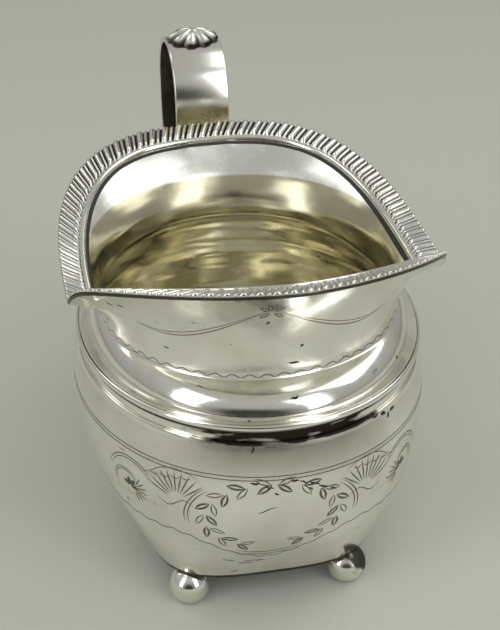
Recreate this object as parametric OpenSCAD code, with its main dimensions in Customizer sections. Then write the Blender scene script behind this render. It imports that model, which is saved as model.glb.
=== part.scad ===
// Cream jug: an oblong sheet-silver body in two halves on four ball feet, with a
// gadroon border, a broad raised lip, a strap handle and a shell thumbpiece.
// +Z is up, the lip points to -Y and the handle to +Y.

/* [Lower body] */
// Half the width of the flat bottom
base_half_w = 25.5; // [22:0.1:30]
// Half the depth of the flat bottom, lip to handle
base_half_d = 29.2; // [26:0.1:34]
// Squareness of the bottom's outline, where 2 is an ellipse
base_square = 3.5; // [2.2:0.1:4]
// Half the width of the belly
belly_half_w = 37.8; // [34:0.1:40]
// Half the depth of the belly
belly_half_d = 43; // [39:0.1:46]
// Squareness of the belly's outline
belly_square = 2.05; // [2:0.05:3]
// Height of the widest level of the belly
belly_z = 41; // [34:0.5:46]
// Height of the seam between the two body halves
waist_z = 52.8; // [50:0.1:60]
// Half the width at the seam
waist_half_w = 36.5; // [33:0.1:38]
// Half the depth at the seam
waist_half_d = 41.5; // [38:0.1:44]
// Thickness of the body's sheet
wall = 1; // [0.8:0.05:1.4]
// Thickness of the bottom plate
plate_t = 1; // [0.6:0.1:1.6]
// How far the bottom plate is set in from the body's edge
plate_inset = 0.4; // [0:0.05:0.6]

/* [Upper body] */
// Depth of the groove above the seam
groove_depth = 0.5; // [0.2:0.05:0.7]
// Height of the groove above the seam
groove_h = 2.6; // [1.5:0.1:3.5]
// Height of the reed moulding over the groove
reed_h = 1.8; // [1:0.1:2.5]
// How far the reed stands out from the groove
reed_out = 0.9; // [0.4:0.05:1.4]
// How far the shoulder roll is set in from the seam
roll_in = 2.5; // [1:0.1:3.5]
// Height of the neck, the narrowest level
neck_z = 62.5; // [60:0.1:65]
// Half the width of the neck
neck_half_w = 31.8; // [30:0.1:33]
// Depth of the neck from the centre to the front
neck_front = 32.6; // [31:0.1:36]
// Depth of the neck from the centre to the back
neck_back = 36; // [33:0.1:38]
// How long the neck runs upright before it flares, where 1 is straight
flare_bow = 2.2; // [1.4:0.1:3]

/* [Rim and lip] */
// Half the width of the rim at its two shoulders
rim_half_w = 39.2; // [37:0.1:42]
// How far the shoulders lie in front of the body's centre
shoulder_y = 12; // [6:0.5:18]
// Length of the rim from the shoulders back to the handle
rim_back = 62.8; // [60:0.1:68]
// Length of the rim from the shoulders forward to the lip
rim_front = 34.1; // [30:0.1:38]
// Squareness of the rim behind the shoulders
rim_square = 2.95; // [2.2:0.05:3.4]
// Roundness of the lip, where 1 is a point and 2 is an ellipse
lip_round = 1.65; // [1.4:0.05:1.9]
// Height of the rim at the shoulders
rim_z = 72.3; // [72:0.1:78]
// Rise of the rim from the shoulders to the lip
lip_rise = 17.2; // [8:0.1:20]
// Rise of the rim from the shoulders to the handle
back_rise = 5.5; // [0:0.1:8]
// Width of the rim's flange
flange_w = 5.6; // [4.5:0.1:6.5]
// Rise of the flange from its inner edge to its outer edge
flange_rise = 1.7; // [0.8:0.1:2.2]
// Thickness of the flange
flange_t = 0.8; // [0.6:0.05:1.2]
// Width of the plain wire along the flange's inner edge
wire_w = 1.4; // [0.8:0.1:2]
// Height of the plain wire
wire_h = 0.9; // [0.5:0.05:1.2]
// Number of gadroons round the rim
gadroons = 92; // [60:1:110]
// Height of a gadroon
gadroon_h = 0.9; // [0.5:0.05:1.3]
// How far a gadroon's outer end leans along the rim
gadroon_lean = 1.1; // [0:0.1:2]
// Film of solder under the gadroon border
solder = 0.06; // [0.04:0.01:0.2]

/* [Handle] */
// Width of the handle's strap
strap_w = 12.6; // [8:0.1:14]
// Thickness of the strap
strap_t = 1.2; // [0.9:0.05:1.8]
// Gap between the rim's edge and the strap that rises behind it
strap_gap = 0.15; // [0.05:0.05:0.4]
// Radius of the strap's top bend, at mid-thickness
loop_r = 12.3; // [10:0.1:14]
// Height of the centre of the top bend
loop_z = 81.2; // [79:0.1:85]
// Height at which the strap's lower end meets the belly
tail_z = 35; // [30:0.5:40]
// Height at which the strap's upper end meets the neck
root_z = 65; // [64:0.1:68]
// How far the strap runs straight off the neck
root_reach = 9; // [6:0.5:12]
// How far it drops on the way
root_drop = 1.5; // [0:0.5:3]
// Height over which it turns upright behind the rim
root_turn = 7; // [5:0.5:9]
// Length over which the back of the loop falls straight down
loop_fall = 22; // [16:0.5:28]
// How far the strap's lower end runs straight off the belly, and rises on the way
tail_reach = 20; // [14:0.5:24]
tail_rise = 12; // [8:0.5:16]
// Width of the thumbpiece
thumb_w = 12.6; // [8:0.1:14]
// Length of the thumbpiece
thumb_l = 8.6; // [6:0.1:10]
// Height of the thumbpiece over the strap
thumb_h = 2.7; // [1.5:0.1:4]
// Number of lobes of the thumbpiece's shell
thumb_lobes = 9; // [5:2:11]
// Depth of the scallops in the shell's edge, as a part of its width
thumb_scallop = 0.14; // [0.05:0.01:0.2]
// Depth of the flutes between the lobes, as a part of the shell's height
thumb_flute = 0.5; // [0.2:0.05:0.6]

/* [Feet] */
// Radius of a ball foot
foot_r = 4.4; // [3.6:0.1:5.5]
// Depth of the worn flat under a ball, and of its seat above
foot_flat = 0.1; // [0.05:0.01:0.3]
// Distance of a foot's centre in from the side of the bottom
foot_in_x = 7.9; // [6:0.1:12]
// Distance of a foot's centre in from the front or back of the bottom
foot_in_y = 5.7; // [5:0.1:12]

/* [Hidden] */

silver = [0.78, 0.78, 0.74];
gilt = [0.74, 0.70, 0.56];
columns = 80;                 // sections round the body
base_z = 2 * (foot_r - foot_flat) + plate_t;
plate_z = base_z - plate_t;
reed_z = waist_z + groove_h;  // lower edge of the reed
roll_z = reed_z + reed_h;     // where the shoulder roll starts
groove_half_w = waist_half_w - groove_depth;
groove_half_d = waist_half_d - groove_depth;
wire_in = flange_w - wire_w;  // inset of the wire's outer side
swing = atan(shoulder_y / neck_half_w);  // the shoulders' direction from the body's centre

// ---- outlines -------------------------------------------------------------

// Radius at angle a of a rounded outline with half-axes w and d
function radius(w, d, square, a) =
    pow(pow(abs(cos(a)) / w, square) + pow(abs(sin(a)) / d, square), -1 / square);

// Point at angle a on a level: 0 is the right side, 90 the front, 270 the back
function ring_point(w, front, back, sq_front, sq_back, y0, z, a) =
    let (ahead = sin(a) >= 0, d = ahead ? front : back, s = ahead ? sq_front : sq_back,
        r = radius(w, d, s, a))
    [r * cos(a), -y0 - r * sin(a), z];

// The same on the body, whose sections swing forward to meet the rim's shoulders squarely
function body_point(w, front, back, square, z, a) =
    ring_point(w, front, back, square, square, 0, z, a + swing * cos(a));

// The rim's outline, inset by i, and its height, which rises to the lip and the handle
function rim_outline(i, a) =
    ring_point(rim_half_w - i, rim_front - i, rim_back - i, lip_round, rim_square, shoulder_y, 0, a);

function rim_point(i, a) =
    let (p = rim_outline(i, a)) [p[0], p[1], rim_height(a) - flange_rise * i / flange_w];

function rim_height(a) =
    let (p = rim_outline(0, a),
        forward = max(0, -p[1] - shoulder_y) / rim_front,
        backward = max(0, p[1]) / (rim_back - shoulder_y))
    rim_z + lip_rise * pow(forward, 0.65) * (1 - exp(-forward / 0.06)) + back_rise * pow(backward, 2);

function mix(a, b, k) = a + (b - a) * k;
function angle(i, n) = 360 * i / n;

// ---- lofts ----------------------------------------------------------------

// Closed solid through a ring of sections, each a loop of the same number of points
module ring_of_sections(sections) {
    n = len(sections);
    m = len(sections[0]);
    points = [for (s = sections) each s];
    faces = [for (i = [0:n - 1], j = [0:m - 1])
        let (a = i * m + j, b = i * m + (j + 1) % m,
            c = (i + 1) % n * m + (j + 1) % m, d = (i + 1) % n * m + j)
        each [[a, b, c], [a, c, d]]];
    polyhedron(points, faces, convexity = 8);
}

// ---- lower body -----------------------------------------------------------

// Fullness of the belly between the bottom, k = 0, and its widest level, k = 1
function fullness(k) = pow(1 - pow(1 - k, 1.8), 1.3);

function belly_point(k, inset, a) =
    let (f = fullness(k), q = mix(base_square, belly_square, f))
    body_point(mix(base_half_w, belly_half_w, f) - inset, mix(base_half_d, belly_half_d, f) - inset,
        mix(base_half_d, belly_half_d, f) - inset, q, mix(base_z, belly_z, k), a);

// The belly's upper part turns in to the seam, k = 1
function breast_point(k, inset, a) =
    let (f = pow(k, 3))
    body_point(mix(belly_half_w, waist_half_w, f) - inset, mix(belly_half_d, waist_half_d, f) - inset,
        mix(belly_half_d, waist_half_d, f) - inset, belly_square, mix(belly_z, waist_z, k), a);

module lower_body() {
    belly_k = [0, 0.2, 0.42, 0.65, 0.85, 1];
    breast_k = [0.45, 0.7, 0.88, 1];
    color(silver) ring_of_sections([for (i = [0:columns - 1]) let (a = angle(i, columns)) concat(
        [for (k = [1, 0.88, 0.7, 0.45]) breast_point(k, wall, a)],
        [for (k = [1, 0.85, 0.65, 0.42, 0.2, 0]) belly_point(k, wall, a)],
        [for (k = belly_k) belly_point(k, 0, a)],
        [for (k = breast_k) breast_point(k, 0, a)])]);
}

module base_plate() {
    color(silver) translate([0, 0, plate_z]) linear_extrude(plate_t)
        polygon([for (i = [0:columns - 1])
            let (p = belly_point(0, plate_inset, angle(i, columns))) [p[0], p[1]]]);
}

// ---- upper body -----------------------------------------------------------

// The shoulder roll is a quarter round between its foot behind the reed, k = 0, and the neck, k = 1
function shoulder_point(k, inset, a) =
    let (f = 1 - cos(90 * k), w = waist_half_w - roll_in, d = waist_half_d - roll_in)
    body_point(mix(w, neck_half_w, f) - inset, mix(d, neck_front, f) - inset,
        mix(d, neck_back, f) - inset, belly_square, mix(roll_z, neck_z, sin(90 * k)), a);

// The flare from the neck, k = 0, to the flange, k = 1
function flare_point(k, inset, i, drop, a) =
    let (p = shoulder_point(1, inset, a), q = rim_point(i, a), h = pow(k, flare_bow))
    [mix(p[0], q[0], h), mix(p[1], q[1], h), mix(neck_z, q[2] - drop, k)];

// The upright wall at the bottom of the groove
function groove_point(inset, z, a) =
    body_point(groove_half_w - inset, groove_half_d - inset, groove_half_d - inset, belly_square, z, a);

module upper_body() {
    shoulder_k = [0, 0.25, 0.5, 0.75, 1];
    flare_k = [0.25, 0.5, 0.75, 1];
    color(gilt) ring_of_sections([for (i = [0:columns - 1])
        let (a = angle(i, columns), edge = rim_point(0, a))
        concat(
            [for (k = [1, 0.75, 0.5, 0.25]) flare_point(k, wall, flange_w, 0, a)],
            [for (k = [1, 0.75, 0.5, 0.25, 0]) shoulder_point(k, wall, a)],
            [groove_point(wall, waist_z, a), groove_point(0, waist_z, a), groove_point(0, roll_z, a)],
            [for (k = shoulder_k) shoulder_point(k, 0, a)],
            [for (k = flare_k) flare_point(k, 0, flange_w - flange_t, flange_t, a)],
            [edge - [0, 0, flange_t], edge])]);
}

// Half-round moulding round the body, seated on the wall over the groove
module waist_reed() {
    color(silver) ring_of_sections([for (i = [0:columns - 1])
        [for (t = [-90:45:90])
            groove_point(-reed_out * cos(t), reed_z + reed_h * (1 + sin(t)) / 2, angle(i, columns))]]);
}

// ---- rim ------------------------------------------------------------------

module rim_wire() {
    color(silver) ring_of_sections([for (i = [0:columns - 1])
        [for (t = [0:45:180])
            rim_point(wire_in + wire_w * (1 - cos(t)) / 2, angle(i, columns)) + [0, 0, wire_h * sin(t)]]]);
}

// Length along the rim's edge at each of a few hundred angles, to space the gadroons evenly
steps = 360;
edge_points = [for (i = [0:steps]) rim_point(0, angle(i, steps))];
function run(i, total) = i > steps ? [] :
    let (sum = i == 0 ? 0 : total + norm(edge_points[i] - edge_points[i - 1]))
    concat([[sum, angle(i, steps)]], run(i + 1, sum));
edge_run = run(0, 0);
edge_length = edge_run[steps][0];
function edge_angle(s) = lookup(s > edge_length ? s - edge_length : s, edge_run);

// One gadroon is a wide lobe and a thin reed between two grooves
lobe = [[0, 0.15], [0.2, 0.92], [0.45, 0.92], [0.65, 0.15], [0.82, 0.6]];

module gadroon_border() {
    pitch = edge_length / gadroons;
    color(silver) ring_of_sections([for (g = [0:gadroons - 1], c = lobe)
        let (s = (g + c[0]) * pitch, h = gadroon_h * c[1],
            inner = edge_angle(s), middle = edge_angle(s + gadroon_lean / 2),
            outer = edge_angle(s + gadroon_lean))
        [for (p = [[0, outer, 0], [0, outer, 0.55 * h], [0.3 * wire_in, middle, h],
                   [wire_in, inner, 0.6 * h], [wire_in, inner, 0]])
            rim_point(p[0], p[1]) + [0, 0, solder + p[2]]]]);
}

// ---- handle ---------------------------------------------------------------

rim_back_y = rim_back - shoulder_y;
rise_y = rim_back_y + strap_gap + strap_t / 2;   // the strap behind the rim
loop_y = rise_y + loop_r;
// The body's back wall at the strap's two ends
tail_k = (tail_z - base_z) / (belly_z - base_z);
tail_y = mix(base_half_d, belly_half_d, fullness(tail_k));
tail = [tail_y, tail_z];
flare_top = [rim_back_y - flange_w + flange_t, rim_point(flange_w - flange_t, 270)[2] - flange_t];
root_k = (root_z + strap_t / 2 - neck_z) / (flare_top[1] - neck_z);
root = [mix(neck_back, flare_top[0], pow(root_k, flare_bow)), root_z];

function bezier(a, b, c, d, t) =
    a * pow(1 - t, 3) + b * 3 * t * pow(1 - t, 2) + c * 3 * t * t * (1 - t) + d * pow(t, 3);

// Middle line of the strap in the plane of symmetry: off the neck, up behind the rim,
// over the top bend and down to the belly
strap_line = concat(
    [for (t = [0:0.1:0.9]) bezier(root, root + [root_reach, -root_drop], [rise_y, root_z - root_drop],
        [rise_y, root_z + root_turn], t)],
    [for (t = [180:-12:0]) [loop_y, loop_z] + loop_r * [cos(t), sin(t)]],
    [for (t = [0.1:0.1:1]) bezier([loop_y + loop_r, loop_z], [loop_y + loop_r, loop_z - loop_fall],
        tail + [tail_reach, tail_rise], tail, t)]);

function unit(v) = v / norm(v);
function along(path, i) = unit(path[min(i + 1, len(path) - 1)] - path[max(i - 1, 0)]);
function beside(path, i, t) = let (d = along(path, i)) path[i] + t * [-d[1], d[0]];

// The ends are cut upright, against the wall that they are soldered to
function cut(p, d, y) = [y, p[1] + d[1] / d[0] * (y - p[0])];
function strap_side(t) = [for (i = [0:len(strap_line) - 1])
    let (p = beside(strap_line, i, t), d = along(strap_line, i))
    i == 0 ? cut(p, d, root[0]) : i == len(strap_line) - 1 ? cut(p, d, tail[0]) : p];

strap_outline = let (back = strap_side(-strap_t / 2))
    concat(strap_side(strap_t / 2), [for (i = [len(back) - 1:-1:0]) back[i]]);

module handle_strap() {
    color(silver) translate([-strap_w / 2, 0, 0]) rotate([90, 0, 90]) linear_extrude(strap_w)
        polygon(strap_outline);
}

// Fan of lobes on the crown of the strap
module thumbpiece() {
    crown_r = loop_r + strap_t / 2;
    spokes = 6 * thumb_lobes;
    rings = 5;
    // scalloped edge and fluted top; the underside follows the strap's bend
    function valley(a) = 1 - abs(sin(thumb_lobes * a / 2));
    function spot(k, a) = let (r = k * (1 - thumb_scallop * k * valley(a)) / 2)
        [thumb_w * r * cos(a), thumb_l * r * sin(a)];
    function seat(p) = [p[0], loop_y + p[1], loop_z + sqrt(pow(crown_r, 2) - pow(p[1], 2))];
    function top(k, a) = seat(spot(k, a))
        + [0, 0, thumb_h * (k == 1 ? 0.3 : 0.4 + 0.6 * (1 - k * k)) * (1 - thumb_flute * k * valley(a))];
    points = concat(
        [seat([0, 0]), seat([0, 0]) + [0, 0, thumb_h]],
        [for (j = [1:rings], i = [0:spokes - 1]) seat(spot(j / rings, angle(i, spokes)))],
        [for (j = [1:rings], i = [0:spokes - 1]) top(j / rings, angle(i, spokes))]);
    function under(j, i) = 2 + (j - 1) * spokes + i % spokes;
    function over(j, i) = under(j, i) + rings * spokes;
    faces = [for (i = [0:spokes - 1]) each concat(
        [[0, under(1, i), under(1, i + 1)], [1, over(1, i + 1), over(1, i)]],
        [[under(rings, i), over(rings, i), over(rings, i + 1)],
         [under(rings, i), over(rings, i + 1), under(rings, i + 1)]],
        [for (j = [1:rings - 1]) each
            [[under(j, i), under(j + 1, i), under(j + 1, i + 1)],
             [under(j, i), under(j + 1, i + 1), under(j, i + 1)],
             [over(j, i), over(j + 1, i + 1), over(j + 1, i)],
             [over(j, i), over(j, i + 1), over(j + 1, i + 1)]]])];
    color(silver) polyhedron(points, faces, convexity = 4);
}

// ---- feet -----------------------------------------------------------------

// A ball with a small flat worn at the table and another at its seat
module foot(side, way) {
    place = [side * (base_half_w - foot_in_x), way * (base_half_d - foot_in_y), foot_r - foot_flat];
    color(silver) translate(place)
        intersection() {
            sphere(r = foot_r, $fn = 64);
            cube([3 * foot_r, 3 * foot_r, 2 * (foot_r - foot_flat)], center = true);
        }
}

// The origin lies on the table under the middle of the whole length, lip to handle
front_reach = shoulder_y + rim_front;
back_reach = max([for (p = strap_outline) p[0]]);

translate([0, (front_reach - back_reach) / 2, 0]) {
    lower_body();
    upper_body();
    base_plate();
    waist_reed();
    rim_wire();
    gadroon_border();
    handle_strap();
    thumbpiece();
    foot(-1, -1);  // foot_front_left
    foot(1, -1);  // foot_front_right
    foot(-1, 1);  // foot_back_left
    foot(1, 1);  // foot_back_right
}
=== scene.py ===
import bpy, math
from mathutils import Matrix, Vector


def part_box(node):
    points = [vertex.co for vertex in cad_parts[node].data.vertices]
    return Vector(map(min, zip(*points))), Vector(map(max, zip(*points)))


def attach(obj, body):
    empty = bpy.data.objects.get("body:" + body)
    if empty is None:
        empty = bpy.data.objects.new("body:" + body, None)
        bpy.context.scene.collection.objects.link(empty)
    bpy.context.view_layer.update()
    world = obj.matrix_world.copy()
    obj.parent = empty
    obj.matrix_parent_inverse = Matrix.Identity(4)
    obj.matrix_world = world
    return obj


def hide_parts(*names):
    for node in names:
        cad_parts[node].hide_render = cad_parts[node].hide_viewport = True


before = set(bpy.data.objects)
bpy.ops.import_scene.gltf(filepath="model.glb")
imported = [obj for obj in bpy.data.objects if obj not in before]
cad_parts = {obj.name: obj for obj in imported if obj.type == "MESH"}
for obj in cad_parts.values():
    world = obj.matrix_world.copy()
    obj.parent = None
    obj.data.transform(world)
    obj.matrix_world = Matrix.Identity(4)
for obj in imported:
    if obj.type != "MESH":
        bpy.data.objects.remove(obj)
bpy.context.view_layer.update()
mm = 0.001
print("frame loaded:", len(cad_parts), "nodes")

camera = {"azimuth": -11.6, "elevation": 32.1, "distance": 0.3663, "lens": 97.1,
          "target": (0.0007, -0.0153, 0.0566), "clip": (0.01, 20)}
studio = {"floorColor": (0.47, 0.475, 0.415, 1), "floorRoughness": 0.9, "floorSize": 6,
          "skyLow": (0.33, 0.325, 0.31, 1), "skyMiddle": (0.37, 0.365, 0.345, 1),
          "skyTop": (0.45, 0.45, 0.43, 1), "skyLevels": (0.0, 0.25, 0.8), "skyStrength": 1.0,
          "dark": (0.05, 0.048, 0.045, 1), "darkUp": 4, "darkEdge": (0.84, 0.95), "lampDistance": 0.8}
lamps = [  # name, degrees right of the camera, degrees up, size across, size up, brightness
    ("frontLeft", -47, 30, 0.26, 0.80, 2.3),
    ("frontRight", 45, 30, 0.26, 0.80, 2.3),
    ("backLeft", -114, 50, 0.22, 0.55, 1.8),
    ("backRight", 105, 55, 0.50, 0.55, 1.7),
    ("fill", 0, 40, 0.9, 0.9, 1.1),
]


def deselectAll():
    if bpy.context.object and bpy.context.object.mode != "OBJECT":
        bpy.ops.object.mode_set(mode="OBJECT")
    bpy.ops.object.select_all(action="DESELECT")


def pick(piece):
    deselectAll()
    piece.select_set(True)
    bpy.context.view_layer.objects.active = piece


def towards(right, up):
    # unit vector to a place in the room, in degrees right of the camera and above the floor
    turn, rise = math.radians(right + camera["azimuth"]), math.radians(up)
    return Vector((math.sin(turn) * math.cos(rise), -math.cos(turn) * math.cos(rise), math.sin(rise)))


def makeCamera(s):
    back = towards(0, s["elevation"])
    deselectAll()
    bpy.ops.object.camera_add(location=Vector(s["target"]) + back * s["distance"])
    cam = bpy.context.object
    cam.rotation_mode = "QUATERNION"
    cam.rotation_quaternion = (-back).to_track_quat("-Z", "Y")
    cam.data.lens = s["lens"]
    cam.data.clip_start, cam.data.clip_end = s["clip"]
    bpy.context.scene.camera = cam


def softLamp(name, right, up, width, height, brightness):
    way = towards(right, up)
    deselectAll()
    bpy.ops.object.light_add(type="AREA", location=Vector(camera["target"]) + way * studio["lampDistance"])
    lamp = bpy.context.object
    lamp.name = name
    lamp.rotation_mode = "QUATERNION"
    lamp.rotation_quaternion = (-way).to_track_quat("-Z", "Y")
    lamp.data.shape = "RECTANGLE"
    lamp.data.size, lamp.data.size_y = width, height
    lamp.data.energy = brightness * math.pi * width * height
    lamp.visible_glossy = name != "fill"  # the fill lights the floor and doesn't show in the metal


def newMaterial(name):
    material = bpy.data.materials.new(name)
    material.use_nodes = True
    return material, material.node_tree.nodes["Principled BSDF"]


def plainFinish(name, color, roughness, metallic=0):
    material, shader = newMaterial(name)
    shader.inputs["Base Color"].default_value = color
    shader.inputs["Metallic"].default_value = metallic
    shader.inputs["Roughness"].default_value = roughness
    return material


def addNode(tree, kind, inputs=None, **settings):
    made = tree.nodes.new(kind)
    for key, value in settings.items():
        setattr(made, key, value)
    for key, value in (inputs or {}).items():
        if isinstance(value, bpy.types.NodeSocket):
            tree.links.new(value, made.inputs[key])
        else:
            made.inputs[key].default_value = value
    return made


def ramp(tree, source, stops):
    made = addNode(tree, "ShaderNodeValToRGB", {"Fac": source})
    bar = made.color_ramp.elements
    while len(bar) < len(stops):
        bar.new(0.5)
    for mark, (place, shade) in zip(bar, stops):
        mark.position = place
        mark.color = shade if hasattr(shade, "__len__") else (shade, shade, shade, 1)
    return made.outputs["Color"]


def mixColors(tree, share, under, over):
    return addNode(tree, "ShaderNodeMix", {0: share, 6: under, 7: over}, data_type="RGBA").outputs[2]


def maths(tree, operation, *values):
    return addNode(tree, "ShaderNodeMath", dict(enumerate(values)), operation=operation).outputs[0]


def rescale(tree, value, low, high, newLow=0, newHigh=1):
    return addNode(tree, "ShaderNodeMapRange", {"Value": value, "From Min": low, "From Max": high,
                                                "To Min": newLow, "To Max": newHigh}).outputs[0]


def noise(tree, where, scale, detail, roughness=0.5):
    return addNode(tree, "ShaderNodeTexNoise", {"Vector": where, "Scale": scale, "Detail": detail,
                                                "Roughness": roughness}).outputs["Fac"]


def stretched(tree, where, scale, rotation=(0, 0, 0)):
    return addNode(tree, "ShaderNodeMapping", {"Vector": where, "Rotation": rotation,
                                               "Scale": scale}).outputs[0]


def makeStudio(s):
    world = bpy.data.worlds.new("studio")
    bpy.context.scene.world = world
    world.use_nodes = True
    tree = world.node_tree
    where = addNode(tree, "ShaderNodeTexCoord").outputs["Generated"]
    up = addNode(tree, "ShaderNodeSeparateXYZ", {0: where}).outputs["Z"]
    sky = ramp(tree, up, list(zip(s["skyLevels"], (s["skyLow"], s["skyMiddle"], s["skyTop"]))))
    # the dark end of the room, low behind the camera
    near = addNode(tree, "ShaderNodeVectorMath", {0: where, 1: towards(0, s["darkUp"])},
                   operation="DOT_PRODUCT").outputs["Value"]
    patch = ramp(tree, near, [(s["darkEdge"][0], 0), (s["darkEdge"][1], 1)])
    shade = tree.nodes["Background"]
    tree.links.new(mixColors(tree, patch, sky, s["dark"]), shade.inputs["Color"])
    shade.inputs["Strength"].default_value = s["skyStrength"]
    deselectAll()
    bpy.ops.mesh.primitive_plane_add(size=s["floorSize"], location=(0, 0, 0))
    floor = bpy.context.object
    floor.name = "floor"
    floor.data.materials.append(plainFinish("floorPaper", s["floorColor"], s["floorRoughness"]))
    for lamp in lamps:
        softLamp(*lamp)
    bpy.context.scene.view_settings.view_transform = "Standard"


makeCamera(camera)
makeStudio(studio)
print("stage: camera, floor and lamps")

# colours for painted light: the film grey is a painted reflection on the belly, the brass-like gold a
# painted reflection of the gilt inside on the strap, the shade colour painted shade; the tarnish black
# serves real tarnish and stains and also painted shade
colors = {"clean": (0.915, 0.915, 0.865, 1), "dull": (0.74, 0.73, 0.64, 1), "bare": (0.82, 0.82, 0.77, 1),
          "tarnishAndShade": (0.035, 0.03, 0.024, 1), "shade": (0.11, 0.105, 0.09, 1), "film": (0.34, 0.33, 0.30, 1),
          "gold": (0.85, 0.82, 0.67, 1), "goldDull": (0.64, 0.61, 0.47, 1), "oldGold": (0.47, 0.44, 0.30, 1),
          "giltReflection": (0.60, 0.56, 0.40, 1), "cut": (0.16, 0.155, 0.13, 1), "soot": (0.02, 0.018, 0.015, 1)}

# what every silver starts from: levels in mm, depths in metres, scales in repeats for each metre
finish = {
    "clean": colors["clean"], "dull": colors["dull"], "rough": (0.07, 0.2),
    "cloud": {"scale": 70, "detail": 5, "roughness": 0.62, "edges": (0.35, 0.75)},
    "scratch": {"scale": 700, "detail": 3, "roughness": 0.7, "turns": (0.5, -0.9), "length": 0.06,
                "depth": 0.00003},
    "smear": {"scale": 180, "detail": 6, "span": (0.45, 1.05)},
    "speck": {"scale": 260, "detail": 5, "roughness": 0.6, "turn": 0.25, "shape": (0.55, 0.55, 1.5),
              "edge": 0.03},
    "dent": {"scale": 55, "detail": 1, "depth": 0.0016},
    "ring": {"scale": 150, "detail": 2, "roughness": 0.4, "shape": (0.22, 0.22, 1), "depth": 0.0012},
    "dents": 0.25, "nicks": 0.35, "rings": 0, "specks": 0,
    "tintRough": 0.06, "bareRough": 0.1, "sootRough": 0.5,
    "groove": None, "soot": None, "bareAbove": None, "toned": None,
}


def cloudyColor(tree, where, s):
    # clean metal with duller patches
    cloud = s["cloud"]
    patch = noise(tree, where, cloud["scale"], cloud["detail"], cloud["roughness"])
    patch = ramp(tree, patch, [(cloud["edges"][0], 0), (cloud["edges"][1], 1)])
    return mixColors(tree, patch, s["clean"], s["dull"])


def bareShare(tree, where, level, edge=0.15):
    # gilding that ends at a level line
    height = addNode(tree, "ShaderNodeSeparateXYZ", {0: where}).outputs["Z"]
    return rescale(tree, height, (level - edge) * mm, (level + edge) * mm)


# a tint between heights, given as rise and fall: a painted dark reflection on the belly, a painted
# reflection of the gilt on the strap, and a darker band in the gilding
def tintShare(tree, where, s):
    # thin film between heights, given as rise and fall
    place = addNode(tree, "ShaderNodeSeparateXYZ", {0: where})
    film = s["amount"]
    for lowEnd, highEnd in (s["rise"], s["fall"]):
        step = rescale(tree, place.outputs["Z"], lowEnd * mm, highEnd * mm)
        film = maths(tree, "MULTIPLY", step, film)
    if "fade" in s:  # strongest in the middle, weak at the sides
        side = maths(tree, "ABSOLUTE", place.outputs["X"])
        fade = rescale(tree, side, s["fade"][1] * mm, s["fade"][0] * mm, s["sideShare"])
        film = maths(tree, "MULTIPLY", film, fade)
    return film


def scratches(tree, where, s):
    # fine polishing scratches in two directions
    fine = []
    for turn in s["turns"]:
        slanted = stretched(tree, where, (1, s["length"], 1), (turn, turn * 0.6, 0.4))
        fine.append(noise(tree, slanted, s["scale"], s["detail"], s["roughness"]))
    return maths(tree, "MULTIPLY", fine[0], fine[1])


def speckShare(tree, where, s, amount):
    # pits and stains, longer than they are high
    flat = stretched(tree, where, s["shape"], (0, s["turn"], 0))
    spots = noise(tree, flat, s["scale"], s["detail"], s["roughness"])
    return ramp(tree, spots, [(1 - amount, 0), (1 - amount + s["edge"], 1)])


def grooveShare(tree, where, s):
    # black in a groove between two heights: partly tarnish, partly painted shadow under the reed and on the
    # lower body's top edge
    height = addNode(tree, "ShaderNodeSeparateXYZ", {0: where}).outputs["Z"]
    low, high, soft = s["low"] * mm, s["high"] * mm, s["soft"] * mm
    above = rescale(tree, height, low - soft, low + soft)
    below = rescale(tree, height, high + soft, high - soft)
    band = maths(tree, "MULTIPLY", above, below)
    line = rescale(tree, height, high - soft * 4, high - soft * 2)
    # thinner here and there, and most at the sides
    flat = stretched(tree, where, s["thinShape"])
    patchy = noise(tree, flat, s["thinScale"], s["thinDetail"])
    side = addNode(tree, "ShaderNodeSeparateXYZ", {0: where}).outputs["X"]
    side = maths(tree, "ABSOLUTE", side)
    thinning = rescale(tree, side, s["thinFrom"] * mm, s["thinTo"] * mm, s["thinLeast"], s["thinMost"])
    thinning = maths(tree, "MULTIPLY_ADD", patchy, s["thinPatches"], thinning)
    kept = rescale(tree, thinning, s["goneOver"], s["wholeUnder"])
    kept = maths(tree, "MAXIMUM", kept, line)
    return maths(tree, "MULTIPLY", band, kept)


def metalRelief(tree, where, scratch, s):
    # soft dents, level ridges left by the hammer, and the fine scratches over them
    swell = noise(tree, where, s["dent"]["scale"], s["dent"]["detail"])
    wave = addNode(tree, "ShaderNodeBump", {"Height": swell, "Distance": s["dent"]["depth"],
                                            "Strength": s["dents"]}).outputs[0]
    if s["rings"]:
        ring = s["ring"]
        ridge = noise(tree, stretched(tree, where, ring["shape"]), ring["scale"], ring["detail"],
                      ring["roughness"])
        wave = addNode(tree, "ShaderNodeBump", {"Height": ridge, "Distance": ring["depth"],
                                                "Strength": s["rings"], "Normal": wave}).outputs[0]
    return addNode(tree, "ShaderNodeBump", {"Height": scratch, "Distance": s["scratch"]["depth"],
                                            "Strength": s["nicks"], "Normal": wave}).outputs[0]


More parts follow.
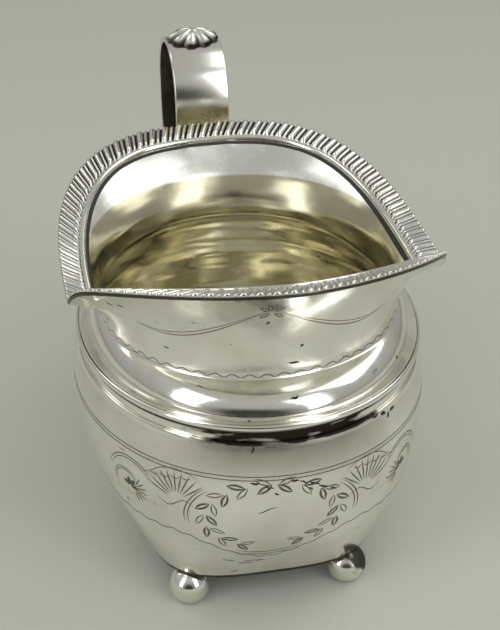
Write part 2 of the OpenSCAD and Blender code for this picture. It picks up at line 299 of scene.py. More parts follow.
def silverFinish(name, **own):
    s = {**finish, **own}
    material, shader = newMaterial(name)
    tree = material.node_tree
    where = addNode(tree, "ShaderNodeTexCoord").outputs["Object"]
    color = cloudyColor(tree, where, s)
    if s["bareAbove"]:
        bare = bareShare(tree, where, s["bareAbove"])
        color = mixColors(tree, bare, color, colors["bare"])
    if s["toned"]:
        film = tintShare(tree, where, s["toned"])
        color = mixColors(tree, film, color, s["toned"]["color"])
    scratch = scratches(tree, where, s["scratch"])
    smear = noise(tree, where, s["smear"]["scale"], s["smear"]["detail"])
    blend = maths(tree, "ADD", scratch, smear)
    roughness = rescale(tree, blend, *s["smear"]["span"], *s["rough"])
    if s["toned"]:
        roughness = maths(tree, "MULTIPLY_ADD", film, s["tintRough"], roughness)
    if s["bareAbove"]:  # rubbed matt above the gilding
        roughness = maths(tree, "MULTIPLY_ADD", bare, s["bareRough"], roughness)
    dark = []
    if s["specks"]:
        dark.append(speckShare(tree, where, s["speck"], s["specks"]))
    if s["groove"]:
        dark.append(grooveShare(tree, where, s["groove"]))
    if s["soot"]:  # black from a mesh attribute: tarnish in the hollows of a casting, and painted shade on the thumb shell's edge and on one foot
        dark.append(addNode(tree, "ShaderNodeAttribute", attribute_name=s["soot"]).outputs["Fac"])
    if dark:
        black = dark[0]
        for other in dark[1:]:
            black = maths(tree, "MAXIMUM", other, black)
        color = mixColors(tree, black, color, colors["tarnishAndShade"])
        roughness = maths(tree, "MULTIPLY_ADD", black, s["sootRough"], roughness)
    tree.links.new(color, shader.inputs["Base Color"])
    tree.links.new(roughness, shader.inputs["Roughness"])
    tree.links.new(metalRelief(tree, where, scratch, s), shader.inputs["Normal"])
    shader.inputs["Metallic"].default_value = 1
    return material


footSilver = silverFinish("footSilver", dents=0.3, soot="hollowsAndShade")
plainSilver = silverFinish("plainSilver", dents=0.12)
bodySilver = silverFinish(
    "bodySilver", specks=0.31,
    # the groove's black is partly tarnish, partly painted shadow under the reed and on the lower body's top
    # edge
    groove={"low": 52.2, "high": 55.3, "soft": 0.2, "thinScale": 420, "thinDetail": 4,
            "thinShape": (0.35, 0.35, 1.6), "thinFrom": 14, "thinTo": 26, "thinLeast": 0.15, "thinMost": 0.75,
            "thinPatches": 1.1, "goneOver": 0.92, "wholeUnder": 0.74},
    # painted reflection: a dark grey tint on the belly under the groove, strongest in the middle
    toned={"rise": (43.5, 51.5), "fall": (52.3, 51.5), "amount": 1, "color": colors["film"],
           "fade": (11, 24), "sideShare": 0.25})
castSilver = silverFinish("castSilver", rough=(0.12, 0.3), dents=0.05, soot="hollowsAndShade")
giltInside = silverFinish(
    "giltInside", clean=colors["gold"], dull=colors["goldDull"], rough=(0.10, 0.22), dents=0.42, rings=0.8,
    nicks=0.12, bareAbove=70.6,
    toned={"rise": (63, 65), "fall": (70.8, 70.5), "amount": 0.8, "color": colors["oldGold"]})
strapLook = {"clean": colors["bare"], "rough": (0.17, 0.24), "dents": 0.06, "nicks": 0.05}
strapSilver = silverFinish("strapSilver", **strapLook)
# painted reflection of the gilt inside, as a gold tint on the strap above the rim
strapGiltReflection = silverFinish("strapGiltReflection", **strapLook, toned={"rise": (0, 1), "fall": (82, 80.5), "amount": 1,
                                                          "color": colors["giltReflection"]})
# painted shade: dark silver for the flange's edge under the border, the base's underside and the inside of
# the handle's loop
paintedShadeSilver = silverFinish("paintedShadeSilver", clean=colors["shade"], dull=colors["tarnishAndShade"], rough=(0.22, 0.4),
                          dents=0.1)
print("finishes made")


def copyOf(source, name):
    # a CAD node's mesh of loose triangles, merged, with flat faces joined again
    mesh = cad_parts[source].data.copy()
    mesh.materials.clear()
    piece = bpy.data.objects.new(name, mesh)
    bpy.context.scene.collection.objects.link(piece)
    pick(piece)
    sameSpot = 1e-6
    bpy.ops.object.mode_set(mode="EDIT")
    bpy.ops.mesh.select_all(action="SELECT")
    bpy.ops.mesh.remove_doubles(threshold=sameSpot)
    bpy.ops.object.mode_set(mode="OBJECT")
    # keep triangles on either side of the middle plane from joining across it
    for edge in mesh.edges:
        edge.use_seam = all(abs(mesh.vertices[i].co.x) < sameSpot for i in edge.vertices)
    bpy.ops.object.mode_set(mode="EDIT")
    bpy.ops.mesh.select_all(action="SELECT")
    bpy.ops.mesh.tris_convert_to_quads(face_threshold=math.radians(70), shape_threshold=math.radians(80),
                                       seam=True)
    bpy.ops.mesh.mark_seam(clear=True)
    bpy.ops.object.mode_set(mode="OBJECT")
    return piece


def softenEdges(piece, sharpness, width, segments=2, above=None):
    # above: a height in mm and the sharpness that counts over it
    pick(piece)
    bpy.ops.object.mode_set(mode="EDIT")
    bpy.ops.mesh.select_all(action="DESELECT")
    if above:
        bpy.ops.object.mode_set(mode="OBJECT")
        for point in piece.data.vertices:
            point.hide = point.co.z < above[0] * mm
        for edge in piece.data.edges:
            edge.hide = any(piece.data.vertices[i].hide for i in edge.vertices)
        for face in piece.data.polygons:
            face.hide = any(piece.data.vertices[i].hide for i in face.vertices)
        bpy.ops.object.mode_set(mode="EDIT")
        bpy.ops.mesh.select_mode(type="EDGE")
        bpy.ops.mesh.edges_select_sharp(sharpness=math.radians(above[1]))
        bpy.ops.mesh.reveal(select=False)
    bpy.ops.mesh.select_mode(type="EDGE")
    bpy.ops.mesh.edges_select_sharp(sharpness=math.radians(sharpness))
    bpy.ops.mesh.bevel(offset=width * mm, segments=segments, affect="EDGES")
    bpy.ops.mesh.select_mode(type="VERT")
    bpy.ops.object.mode_set(mode="OBJECT")


def subdivide(piece, levels):
    pick(piece)
    smooth = piece.modifiers.new("smooth", "SUBSURF")
    smooth.levels = smooth.render_levels = levels
    bpy.ops.object.modifier_apply(modifier="smooth")
    bpy.ops.object.shade_smooth()


def paint(piece, *materials):
    for material in materials:
        piece.data.materials.append(material)


def hand(piece, slot, *nodes):
    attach(piece, "root")
    if nodes:
        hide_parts(*nodes)
    print(piece.name, len(piece.data.polygons), "faces")


# heights and sizes in mm, angles in degrees; above lipFrom even blunt edges are softened
body = {"edgeAngle": 40, "edgeWidth": 0.14, "levels": 2, "lipFrom": 69, "lipAngle": 18}
roll = {"foot": 57.2, "top": 62.5, "turn": 58}
plate = {"edgeAngle": 40, "edgeWidth": 0.15, "smoothAngle": 35}
wires = {"levels": 2}
centerY = (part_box("base_plate")[0].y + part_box("base_plate")[1].y) / 2
bodyY = centerY / mm


def giltFaces(piece):
    # the inside of the body: faces that look towards the axis
    for face in piece.data.polygons:
        middle = face.center - Vector((0, centerY, 0))
        inward = -(face.normal.x * middle.x + face.normal.y * middle.y)
        face.material_index = 1 if inward > 0 else 0


def easeRoll(piece, s):
    # ease the quarter round of the shoulder, so that it meets the neck at a slope
    for point in piece.data.vertices:
        part = (point.co.z / mm - s["foot"]) / (s["top"] - s["foot"])
        if 0 < part < 1:
            turn = math.asin(part) * s["turn"] / 90
            part = math.sin(turn) / math.sin(math.radians(s["turn"]))
            point.co.z = (s["foot"] + (s["top"] - s["foot"]) * part) * mm


lowerBody = copyOf("lower_body", "lowerBody")
softenEdges(lowerBody, body["edgeAngle"], body["edgeWidth"])
subdivide(lowerBody, body["levels"])
paint(lowerBody, bodySilver, giltInside)
giltFaces(lowerBody)
hand(lowerBody, "engraved_silver", "lower_body")

upperBody = copyOf("upper_body", "upperBody")
softenEdges(upperBody, body["edgeAngle"], body["edgeWidth"], above=(body["lipFrom"], body["lipAngle"]))
subdivide(upperBody, body["levels"])
easeRoll(upperBody, roll)
paint(upperBody, bodySilver, giltInside, paintedShadeSilver)
giltFaces(upperBody)

basePlate = copyOf("base_plate", "basePlate")
softenEdges(basePlate, plate["edgeAngle"], plate["edgeWidth"])
paint(basePlate, paintedShadeSilver, giltInside)
# painted shade on the base's underside; its top, inside the jug, is gilt
for face in basePlate.data.polygons:
    face.material_index = 1 if face.normal.z > 0.5 else 0
bpy.ops.object.shade_smooth_by_angle(angle=math.radians(plate["smoothAngle"]))
hand(basePlate, "silver", "base_plate")

waistReed = copyOf("waist_reed", "waistReed")
subdivide(waistReed, wires["levels"])
paint(waistReed, plainSilver)
hand(waistReed, "silver", "waist_reed")

rimWire = copyOf("rim_wire", "rimWire")
subdivide(rimWire, wires["levels"])
paint(rimWire, plainSilver)
hand(rimWire, "silver", "rim_wire")

# the rim's outline in mm, seen from above: half its width, its reach before and behind the shoulders
rim = {"halfWidth": 39.2, "front": 34.1, "back": 62.8, "lipRound": 1.65, "square": 2.95, "shoulderY": 12,
       "height": 72.3, "lipRise": 17.2, "lipPower": 0.65, "lipStart": 0.06, "backRise": 5.5,
       "flange": 5.6, "flangeRise": 1.7, "wire": 1.4, "outerShare": 0.985, "steps": 1440}


def rimHalf(inFront):
    # reach and squareness of the outline's half before or behind the shoulders
    return (rim["front"], rim["lipRound"]) if inFront else (rim["back"], rim["square"])


def rimPoint(inset, turn):
    # a place on the flange, inset in mm from its edge, at an angle round the shoulders' middle
    c, s = math.cos(turn), math.sin(turn)
    reach, square = rimHalf(s >= 0)

    def radius(i):
        across, along = abs(c) / (rim["halfWidth"] - i), abs(s) / (reach - i)
        return (across ** square + along ** square) ** (-1 / square)
    edge = -rim["shoulderY"] - radius(0) * s
    forward = max(0, -edge - rim["shoulderY"]) / rim["front"]
    backward = max(0, edge) / (rim["back"] - rim["shoulderY"])
    lipRise = rim["lipRise"] * forward ** rim["lipPower"] * (1 - math.exp(-forward / rim["lipStart"]))
    height = rim["height"] + lipRise + rim["backRise"] * backward ** 2
    r = radius(inset)
    return Vector((r * c, bodyY - rim["shoulderY"] - r * s,
                   height - rim["flangeRise"] * inset / rim["flange"])) * mm


# painted shadow on the flange's outer edge, under the border
for face in upperBody.data.polygons:
    x, y = face.center.x / mm, -face.center.y / mm + bodyY - rim["shoulderY"]
    reach, square = rimHalf(y >= 0)
    outline = (abs(x) / rim["halfWidth"]) ** square + (abs(y) / reach) ** square
    if outline > rim["outerShare"] and face.normal.z < 0.5 and face.center.z > roll["top"] * mm:
        face.material_index = 2
hand(upperBody, "gilt_lined_silver", "upper_body")

edgeRun = [0.0]
for i in range(rim["steps"]):
    ahead, here = (rimPoint(0, 2 * math.pi * k / rim["steps"]) for k in (i + 1, i))
    edgeRun.append(edgeRun[-1] + (ahead - here).length)
edgeLength = edgeRun[-1]


def turnAt(run):
    # the direction from the shoulders' middle at a length along the rim's edge
    run %= edgeLength
    low, high = 0, rim["steps"]
    while high - low > 1:
        middle = (low + high) // 2
        low, high = (middle, high) if edgeRun[middle] <= run else (low, middle)
    part = (run - edgeRun[low]) / (edgeRun[low + 1] - edgeRun[low])
    return 2 * math.pi * (low + part) / rim["steps"]


# lobe and reed: start and end in shares of the pitch, height in shares of the lobe's, roundness
gadroon = {"count": 92, "height": 0.88, "lean": 1.7, "across": 12, "along": 24,
           "lobe": (0.05, 0.55, 1, 0.6), "reed": (0.64, 0.92, 0.7, 0.7),
           "innerEnd": 0.12, "turnDown": 0.9, "outerLow": 0.25, "film": 0.06, "seat": 0.12,
           "soot": 1.25, "sootFall": 2.2, "sootFrom": 0.02, "sootTo": 0.97, "lipClean": 0.5, "lipSoftly": 5}


def lobeHeight(u):
    # one wide lobe, a narrow groove, one thin reed, a narrow groove
    for start, end, height, roundness in (gadroon["lobe"], gadroon["reed"]):
        if start < u < end:
            return height * math.sin(math.pi * (u - start) / (end - start)) ** roundness
    return 0.0


def flatGadroon(s):
    # one gadroon, flat: x runs along the rim, y from the wire out to the edge
    deselectAll()
    bpy.ops.mesh.primitive_grid_add(x_subdivisions=s["along"], y_subdivisions=s["across"], size=1,
                                    location=(0.5, 0.5, 0))
    bpy.ops.object.transform_apply(location=True, rotation=False, scale=False)
    border = bpy.context.object
    border.name = "gadroonBorder"
    soot = border.data.attributes.new("hollowsAndShade", "FLOAT", "POINT")
    for i, point in enumerate(border.data.vertices):
        u, v = point.co.x, point.co.y
        ends = min(1, v / s["innerEnd"]) ** 0.5
        if v > s["turnDown"]:
            ends *= min(1, (1 - v) / (1 - s["turnDown"])) ** 0.5
        point.co.z = lobeHeight(u) * ends
        if s["sootFrom"] < v < s["sootTo"]:
            soot.data[i].value = min(1, max(0, s["soot"] - s["sootFall"] * lobeHeight(u) * ends))
    return border


def makeBorder(s):
    border = flatGadroon(s)
    repeat = border.modifiers.new("repeat", "ARRAY")
    repeat.count = s["count"]
    repeat.relative_offset_displace = (1, 0, 0)
    repeat.use_merge_vertices = True
    repeat.merge_threshold = 1e-4
    pick(border)
    bpy.ops.object.modifier_apply(modifier="repeat")
    # lay the strip round the rim; its last part turns down over the edge
    pitch = edgeLength / s["count"]
    reach = rim["flange"] - rim["wire"]
    soot = border.data.attributes["hollowsAndShade"]
    for i, point in enumerate(border.data.vertices):
        u, v, h = point.co
        out = min(1, v / s["turnDown"])
        drop = max(0, v - s["turnDown"]) / (1 - s["turnDown"])
        place = rimPoint(reach * (1 - out), turnAt(u * pitch + s["lean"] * mm * out))
        lip = min(1, max(0, (bodyY - rim["shoulderY"] - place.y / mm) / s["lipSoftly"]))
        soot.data[i].value *= 1 - s["lipClean"] * lip  # the lip is wiped cleaner
        rise = s["film"] + s["height"] * h * (1 - s["outerLow"] * out) + s["seat"] * (1 - drop)
        point.co = place + Vector((0, 0, rise * mm))
    bpy.ops.object.mode_set(mode="EDIT")
    bpy.ops.mesh.select_all(action="SELECT")
    bpy.ops.mesh.remove_doubles(threshold=2e-6)
    bpy.ops.mesh.normals_make_consistent(inside=False)
    bpy.ops.object.mode_set(mode="OBJECT")
    bpy.ops.object.shade_smooth()
    paint(border, castSilver)
    return border


gadroonBorder = makeBorder(gadroon)
hand(gadroonBorder, "border_silver", "gadroon_border")

# loopBack and loopUp: the middle of the loop, in mm from the strap's back and above the table
strap = {"edgeAngle": 60, "edgeWidth": 0.3, "edgeSteps": 3, "smoothAngle": 40,
         "loopBack": 12.9, "loopUp": 81.2, "darkAbove": 66, "giltReflectionAbove": 70}

handleStrap = copyOf("handle_strap", "handleStrap")
softenEdges(handleStrap, strap["edgeAngle"], strap["edgeWidth"], strap["edgeSteps"])
bpy.ops.object.shade_smooth_by_angle(angle=math.radians(strap["smoothAngle"]))
paint(handleStrap, strapSilver, paintedShadeSilver, strapGiltReflection)
loopMiddle = Vector((0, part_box("handle_strap")[1].y - strap["loopBack"] * mm, strap["loopUp"] * mm))
for face in handleStrap.data.polygons:
    inner = face.center - loopMiddle
    onFlat = abs(face.normal.x) < 0.5
    if onFlat and face.center.z > strap["darkAbove"] * mm and face.normal.dot(inner) < 0:
        face.material_index = 1  # painted shade on the inside of the loop
    elif inner.y < 0 and face.center.z > strap["giltReflectionAbove"] * mm:
        face.material_index = 2  # painted reflection of the gilt inside, above the rim on the side towards the lip
hand(handleStrap, "silver", "handle_strap")

# soot in the shell's valleys and along the scalloped line across it, and painted shade round its edge,
# widest in front where it overhangs the strap
shell = {"lobes": 9, "levels": 1, "valley": 2.8, "valleyLess": 0.5, "line": 0.62, "lineWave": 0.1,
         "lineWidth": 0.16, "lineDepth": 1.6, "edgeAhead": 0.80, "edgeBehind": 0.93, "edgeDepth": 5}

thumbShell = copyOf("thumbpiece", "thumbShell")
shellSootAndShade = thumbShell.data.attributes.new("hollowsAndShade", "FLOAT", "POINT")
shellLow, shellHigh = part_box("thumbpiece")
shellMiddle = (shellLow + shellHigh) / 2
for i, point in enumerate(thumbShell.data.vertices):
    u = (point.co.x - shellMiddle.x) / (shellHigh.x - shellLow.x) * 2
    v = (point.co.y - shellMiddle.y) / (shellHigh.y - shellLow.y) * 2
    out = math.hypot(u, v)
    valley = 1 - abs(math.sin(shell["lobes"] * math.atan2(v, u) / 2))
    fromLine = abs(out - shell["line"] - shell["lineWave"] * valley)
    scallop = max(0, 1 - fromLine / shell["lineWidth"]) * min(1, max(0, 3 * v))
    # painted shade round the shell's edge, widest in front where the lobes overhang the strap
    fromEdge = out - (shell["edgeBehind"] if v > 0 else shell["edgeAhead"])
    shellSootAndShade.data[i].value = min(1, max(0, shell["valley"] * valley * out - shell["valleyLess"],
                                         shell["lineDepth"] * scallop, shell["edgeDepth"] * fromEdge))
subdivide(thumbShell, shell["levels"])
paint(thumbShell, castSilver)
hand(thumbShell, "border_silver", "thumbpiece")

feet = {"sides": ("front_left", "front_right", "back_left", "back_right"), "segments": 48, "rings": 32,
        "smoothAngle": 25, "shadedFoot": "front_right", "darkest": 0.95, "ragged": 0.25,
        "shadeOut": 0.75, "shadeUp": 0.7, "shadeFrom": 0.3, "shadeEdge": 4}


def makeFoot(side, s):
    low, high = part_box("foot_" + side)
    middle, radius = (low + high) / 2, (high.x - low.x) / 2
    deselectAll()
    bpy.ops.mesh.primitive_uv_sphere_add(segments=s["segments"], ring_count=s["rings"], radius=radius,
                                         location=middle)
    foot = bpy.context.object
    bpy.ops.object.transform_apply(location=True, rotation=False, scale=False)
    foot.name = "foot" + side.title().replace("_", "")
    tarnishAndShade = foot.data.attributes.new("hollowsAndShade", "FLOAT", "POINT")
    for i, point in enumerate(foot.data.vertices):
        # painted shade: a dark reflection of the body's underside, on the right and upper half of one foot
        if side == s["shadedFoot"]:
            across, rise = (point.co.x - middle.x) / radius, (point.co.z - middle.z) / radius
            ragged = s["ragged"] * math.sin(9 * across + 4 * rise) * math.cos(7 * rise)
            shadeLevel = s["shadeOut"] * across + s["shadeUp"] * rise - s["shadeFrom"] + ragged
            tarnishAndShade.data[i].value = min(s["darkest"], max(0, s["shadeEdge"] * shadeLevel))
        point.co.z = min(max(point.co.z, low.z), high.z)  # worn flat under the ball
    bpy.ops.object.shade_smooth_by_angle(angle=math.radians(s["smoothAngle"]))
    paint(foot, footSilver)
    return foot


for side in feet["sides"]:
    hand(makeFoot(side, feet), "silver", "foot_" + side)

# the ornament's middle in degrees right of the lip, how far a cut stands out in mm, and mm for a degree
engraving = {"centre": -4, "lift": 0.02, "perDegree": 0.7, "cutRoughness": 0.4, "sootRoughness": 0.6,
             "pointWidth": 0.15, "pointRun": 3, "leafShape": 0.14, "leafCut": 0.28, "filledCut": 0.5,
             "rayCut": 0.30, "outside": 90}
cutSilver = plainFinish("cutSilver", colors["cut"], engraving["cutRoughness"], 1)
sootBlack = plainFinish("sootBlack", colors["soot"], engraving["sootRoughness"])


def onBody(piece, turn, height):
    # the outside of a body half, at degrees right of the lip and mm above the table
    way = Vector((math.sin(math.radians(turn)), -math.cos(math.radians(turn)), 0))
    start = Vector((0, centerY, height * mm)) + way * engraving["outside"] * mm
    place, normal = piece.ray_cast(start, -way)[1:3]
    return place, normal


def cut(marks, piece, path, width):
    # one thin cut through points (turn, height), pointed at both ends
    corners, faces = marks
    first = len(corners)
    spots = [onBody(piece, *point) for point in path]
    last = len(spots) - 1
    for i, (place, normal) in enumerate(spots):
        ahead = spots[min(i + 1, last)][0] - spots[max(i - 1, 0)][0]
        side = normal.cross(ahead).normalized()
        taper = min(1, engraving["pointWidth"] + engraving["pointRun"] * min(i, last - i) / last)
        half = width * mm / 2 * taper
        raised = place + normal * engraving["lift"] * mm
        corners += [raised + side * half, raised - side * half]
        if i:
            a = first + 2 * i
            faces.append((a - 2, a - 1, a + 1, a))


def local(turn, height, points):
    # points in mm right and up of a place on the body
    return [(turn + u / engraving["perDegree"], height + v) for u, v in points]


def arc(radius, start, end, squash=1.0, steps=14):
    angles = [math.radians(start + (end - start) * i / steps) for i in range(steps + 1)]
    return [(radius * math.cos(a), radius * squash * math.sin(a)) for a in angles]


def turned(points, tilt):
    c, s = math.cos(math.radians(tilt)), math.sin(math.radians(tilt))
    return [(u * c - v * s, u * s + v * c) for u, v in points]


def zigzag(height, s):
    # a wavy line all round; height is a function of the turn
    stepsPerWave = 6
    count = round(360 / s["period"] * stepsPerWave)
    turns = [-180 + 360 * i / count for i in range(count + 1)]
    return [(turn, height(turn) + s["swing"] * math.sin(2 * math.pi * i / stepsPerWave))
            for i, turn in enumerate(turns)]


def leaf(marks, piece, turn, height, tilt, length, filled):
    steps = 8
    width = engraving["filledCut"] if filled else engraving["leafCut"]
    for side in (1, -1):
        belly = side * engraving["leafShape"] * length
        outline = [(length * (i / steps - 0.5), belly * math.sin(math.pi * i / steps))
                   for i in range(steps + 1)]
        cut(marks, piece, local(turn, height, turned(outline, tilt)), width)


# heights and lengths in mm; halfTurn, spread and tilt in degrees
wreath = {"halfTurn": 19.5, "halfHeight": 10.2, "height": 33.4, "pairs": 8, "gap": 9, "spread": 146,
          "rings": ((1.08, 32), (0.90, -32)), "leaf": 3.6}


def makeWreath(marks, piece, s):
    middle = engraving["centre"]
    for side in (1, -1):
        for i in range(s["pairs"]):
            angle = math.radians(90 - side * (s["gap"] + s["spread"] * i / (s["pairs"] - 1)))
            for ring, lean in s["rings"]:
                turn = middle + s["halfTurn"] * ring * math.cos(angle)
                height = s["height"] + s["halfHeight"] * ring * math.sin(angle)
                along = math.degrees(math.atan2(-math.cos(angle) * s["halfHeight"],
                                                math.sin(angle) * s["halfTurn"] * engraving["perDegree"]))
                filled = (i + (ring > 1)) % 2 == 0
                leaf(marks, piece, turn, height, along + side * lean, s["leaf"], filled)


def fan(marks, piece, turn, height, s, side):
    steps = 5
    for i in range(s["rays"]):
        a = math.radians(s["start"] + (s["end"] - s["start"]) * i / (s["rays"] - 1))
        reach = [s["inner"] + (s["outer"] - s["inner"]) * k / steps for k in range(steps + 1)]
        ray = [(side * r * math.cos(a), r * math.sin(a)) for r in reach]
        cut(marks, piece, local(turn, height, ray), engraving["rayCut"])


# half of the ornament beside the cartouche; an arc: turn, height, radius, start and end angle, squash, width
panel = {
    "frame": ((0, 33, 17.2, -8, 42, 0.72, 0.26), (0, 33, 18.0, -8, 42, 0.72, 0.26)),
    "fan": {"turn": 27.5, "height": 37, "start": 42, "end": 158, "rays": 10, "inner": 2.0, "outer": 7.4},
    "fanEdge": ((27.5, 37, 7.9, 22, 130, 1, 0.2),),
    "scallops": {"count": 5, "turn": 24.5, "turnStep": 3.4, "height": 44, "heightStep": -0.35, "radius": 1.1,
                 "start": 200, "end": 340},
    "stem": {"turn": 22.5, "height": 36.2, "points": 14, "step": 0.6, "swing": 1.1, "width": 0.22},
    "hatching": {"count": 22, "upper": (30.5, 1.15, 43.3, -0.11), "lower": (31, 1.0, 33.2, -0.05)},
    "scroll": ((44.5, 36.4, 6.8, 15, 150, 0.95, 0.26), (44.5, 36.4, 6.1, 15, 150, 0.95, 0.2),
               (46.5, 36.0, 3.6, -30, 165, 0.9, 0.2), (46.5, 36.0, 3.0, -30, 165, 0.9, 0.2)),
    "burst": {"turn": 43, "height": 35.2, "start": -75, "end": 60, "rays": 7, "inner": 0.7, "outer": 3.6},
    "leaves": {"turn": 44.6, "height": 35.3, "tilts": (20, 75, 130, 185), "across": 1.6, "up": 1.2,
               "length": 2.0},
    "fineWidth": 0.2,
}


def makePanel(marks, piece, s, side):
    # a fan and a scrolled leaf beside the cartouche, mirrored on the other side
    def place(turn):
        return engraving["centre"] + side * turn

    def line(turn, height, points, width=s["fineWidth"]):
        cut(marks, piece, local(place(turn), height, [(side * u, v) for u, v in points]), width)

    def arcs(rows):
        for turn, height, radius, start, end, squash, width in rows:
            line(turn, height, arc(radius, start, end, squash), width)
    arcs(s["frame"])
    fan(marks, piece, place(s["fan"]["turn"]), s["fan"]["height"], s["fan"], -side)
    arcs(s["fanEdge"])
    row = s["scallops"]
    for i in range(row["count"]):
        line(row["turn"] + row["turnStep"] * i, row["height"] + row["heightStep"] * i,
             arc(row["radius"], row["start"], row["end"], steps=6))
    stem = s["stem"]
    line(stem["turn"], stem["height"], [(stem["step"] * k, stem["swing"] * math.sin(k * 0.5))
                                        for k in range(stem["points"])], stem["width"])
    # fine hatching behind the scroll and the fan: first turn and step, first height and step
    for i in range(s["hatching"]["count"]):
        tilt = 0.5 + 0.35 * math.sin(2.4 * i)
        turn, turnStep, height, heightStep = s["hatching"]["upper"]
        line(turn + turnStep * i, height + heightStep * i, [(0, 0), (-tilt, -1.5 - 0.5 * math.sin(1.7 * i))])
        turn, turnStep, height, heightStep = s["hatching"]["lower"]
        line(turn + turnStep * i, height + heightStep * i, [(0, 0), (tilt, 1.2 + 0.4 * math.cos(1.3 * i))])
    arcs(s["scroll"])
    # rays and small leaves that burst from the scroll's eye
    fan(marks, piece, place(s["burst"]["turn"]), s["burst"]["height"], s["burst"], -side)
    small = s["leaves"]
    for tilt in small["tilts"]:
        c, d = math.cos(math.radians(tilt)), math.sin(math.radians(tilt))
        leaf(marks, piece, place(small["turn"]) + side * small["across"] * c,
             small["height"] + small["up"] * d, tilt if side > 0 else 180 - tilt, small["length"], True)


def makeMarks(name, marks, material):
    mesh = bpy.data.meshes.new(name)
    mesh.from_pydata(marks[0], [], marks[1])
    mesh.validate()
    piece = bpy.data.objects.new(name, mesh)
    bpy.context.scene.collection.objects.link(piece)
    paint(piece, material)
    hand(piece, "engraved_silver")


# the belly: a dashed band under the reed, the wreath and panels, and a wavy line below them
band = {"levels": (45.6, 44.7), "width": 0.22, "dashes": 240, "dashLow": 45.0, "dashHigh": 45.3,
        "dashLean": 0.28, "dashWidth": 0.3}
wave = {"height": 27.6, "dip": 9.6, "dipTurn": 31, "swing": 0.3, "period": 6, "width": 0.24}
drape = {"rises": (0, 1.1), "height": 30.4, "radius": 13.5, "start": 235, "end": 305, "squash": 0.75,
         "width": 0.28}


def waveLevel(turn):
    # level of the wavy line, which dips under the cartouche
    off = min(1, abs(turn - engraving["centre"]) / wave["dipTurn"])
    return wave["height"] - wave["dip"] * (0.5 + 0.5 * math.cos(math.pi * off))


lowerMarks = ([], [])
for level in band["levels"]:
    cut(lowerMarks, lowerBody, [(1.5 * t, level) for t in range(-120, 121)], band["width"])
for i in range(band["dashes"]):
    turn = -180 + 360 / band["dashes"] * i
    cut(lowerMarks, lowerBody, [(turn, band["dashLow"]), (turn + band["dashLean"], band["dashHigh"])],
        band["dashWidth"])
makeWreath(lowerMarks, lowerBody, wreath)
for side in (1, -1):
    makePanel(lowerMarks, lowerBody, panel, side)
cut(lowerMarks, lowerBody, zigzag(waveLevel, wave), wave["width"])
for rise in drape["rises"]:
    curve = arc(drape["radius"], drape["start"], drape["end"], drape["squash"])
    cut(lowerMarks, lowerBody, local(engraving["centre"], drape["height"] - rise, curve), drape["width"])
makeMarks("engravedBand", lowerMarks, cutSilver)

# the neck: a zigzag over the shoulder, and two swags that hang from a sprig of leaves
neckLine = {"height": 62.9, "swing": 0.4, "period": 6, "width": 0.2}
swag = {"lines": ((0.0, 0.22), (0.9, 0.16)), "height": 80.5, "fall": 9.5, "sweep": 0.62, "start": 1.5,
        "reach": 46, "steps": 20}
sprig = {"height": 80.2, "tilts": (35, 75, 105, 145, 215, 325), "across": 1.9, "up": 1.7, "leaf": 2.6}

neckMarks = ([], [])
cut(neckMarks, upperBody, zigzag(lambda turn: neckLine["height"], neckLine), neckLine["width"])
for side in (1, -1):
    for sag, width in swag["lines"]:
        path = []
        for k in range(swag["steps"] + 1):
            part = k / swag["steps"]
            fall = swag["fall"] * math.sin(math.pi * swag["sweep"] * part) - sag * math.sin(math.pi * part)
            path.append((engraving["centre"] + side * (swag["start"] + swag["reach"] * part),
                         swag["height"] - fall))
        cut(neckMarks, upperBody, path, width)
for tilt in sprig["tilts"]:
    c, d = math.cos(math.radians(tilt)), math.sin(math.radians(tilt))
    leaf(neckMarks, upperBody, engraving["centre"] + sprig["across"] * c / engraving["perDegree"],
         sprig["height"] + sprig["up"] * d, tilt, sprig["leaf"], False)
makeMarks("engravedNeck", neckMarks, cutSilver)

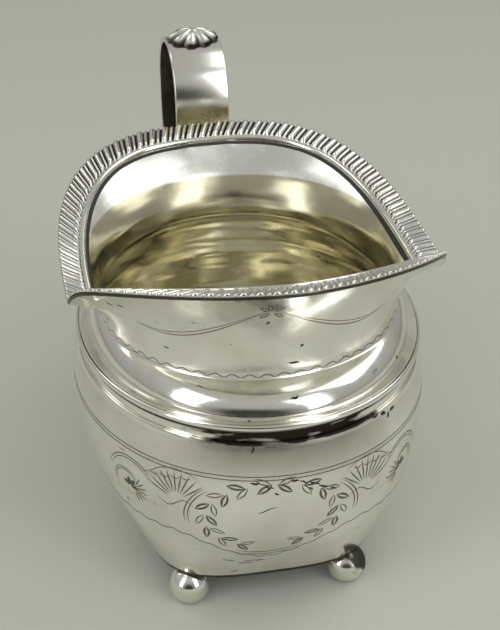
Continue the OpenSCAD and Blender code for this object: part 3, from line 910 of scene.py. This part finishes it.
# painted shadow in the corner between the flare and the wire, at four insets in mm from the flange's edge
corner = {"insets": (5.6, 5.8, 6.0, 6.3), "steps": 360, "lift": 0.03, "rayFrom": 20}
sootMarks = ([], [])
rows = len(corner["insets"])
for i in range(corner["steps"] + 1):
    for inset in corner["insets"]:
        above = rimPoint(inset, 2 * math.pi * i / corner["steps"]) + Vector((0, 0, corner["rayFrom"] * mm))
        spot, normal = upperBody.ray_cast(above, Vector((0, 0, -1)))[1:3]
        sootMarks[0].append(spot + normal * corner["lift"] * mm)
    for k in range(rows - 1 if i else 0):
        a = rows * i + k
        b = a - rows
        sootMarks[1].append((b, b + 1, a + 1, a))
makeMarks("wireShadow", sootMarks, sootBlack)

# stains and scratches: turn, height, length in mm, tilt, width in mm
wear = {
    "lower": [(1.4, 44.1, 1.6, -10, 0.5), (4, 43.4, 2.2, -25, 0.35), (7, 42.6, 2.4, -30, 0.55),
              (9.5, 41.3, 2, -20, 0.5), (12.5, 40.2, 1.6, -35, 0.35), (6, 41.4, 1.2, -60, 0.3),
              (-9.4, 44, 1.8, 0, 0.5), (-5.4, 42.9, 1.6, -20, 0.4), (-3.5, 41.2, 1, -30, 0.4),
              (-6, 36.8, 4, 25, 0.26), (-9.9, 51.6, 1.4, 80, 0.5), (-18, 17.2, 3, -20, 0.25),
              (-12.3, 15.4, 4, -5, 0.25), (-10, 16.4, 4, 5, 0.2), (-7, 16, 3, 8, 0.3),
              (28, 52.3, 2, 10, 0.5), (31.3, 51.9, 1.6, -20, 0.8), (33.3, 50.9, 1.2, 60, 0.6),
              (35.6, 51.5, 1.8, 15, 0.6)],
    "upper": [(3.2, 60, 1.8, 10, 0.6), (-10.9, 58.2, 0.8, 70, 0.5), (-26.9, 61.2, 2, 5, 0.25),
              (47, 58.3, 1, -50, 0.5), (-4.9, 77, 0.8, 15, 0.6), (7.4, 69.5, 0.8, -10, 0.6),
              (-60.3, 74.3, 1.6, -25, 0.4), (-55.6, 75, 1.8, -10, 0.35), (-21, 86, 2.2, 20, 0.3),
              (-17.8, 86.4, 1.8, -15, 0.3)],
    "waver": 0.12, "steps": 6,
}
wornSpots = ([], [])
for half, piece in (("lower", lowerBody), ("upper", upperBody)):
    for turn, height, length, tilt, width in wear[half]:
        path = [(length * (k / wear["steps"] - 0.5), wear["waver"] * math.sin(5 * k + turn))
                for k in range(wear["steps"] + 1)]
        cut(wornSpots, piece, local(turn, height, turned(path, tilt)), width)
makeMarks("wearMarks", wornSpots, sootBlack)
print("engraving, soot and wear done")
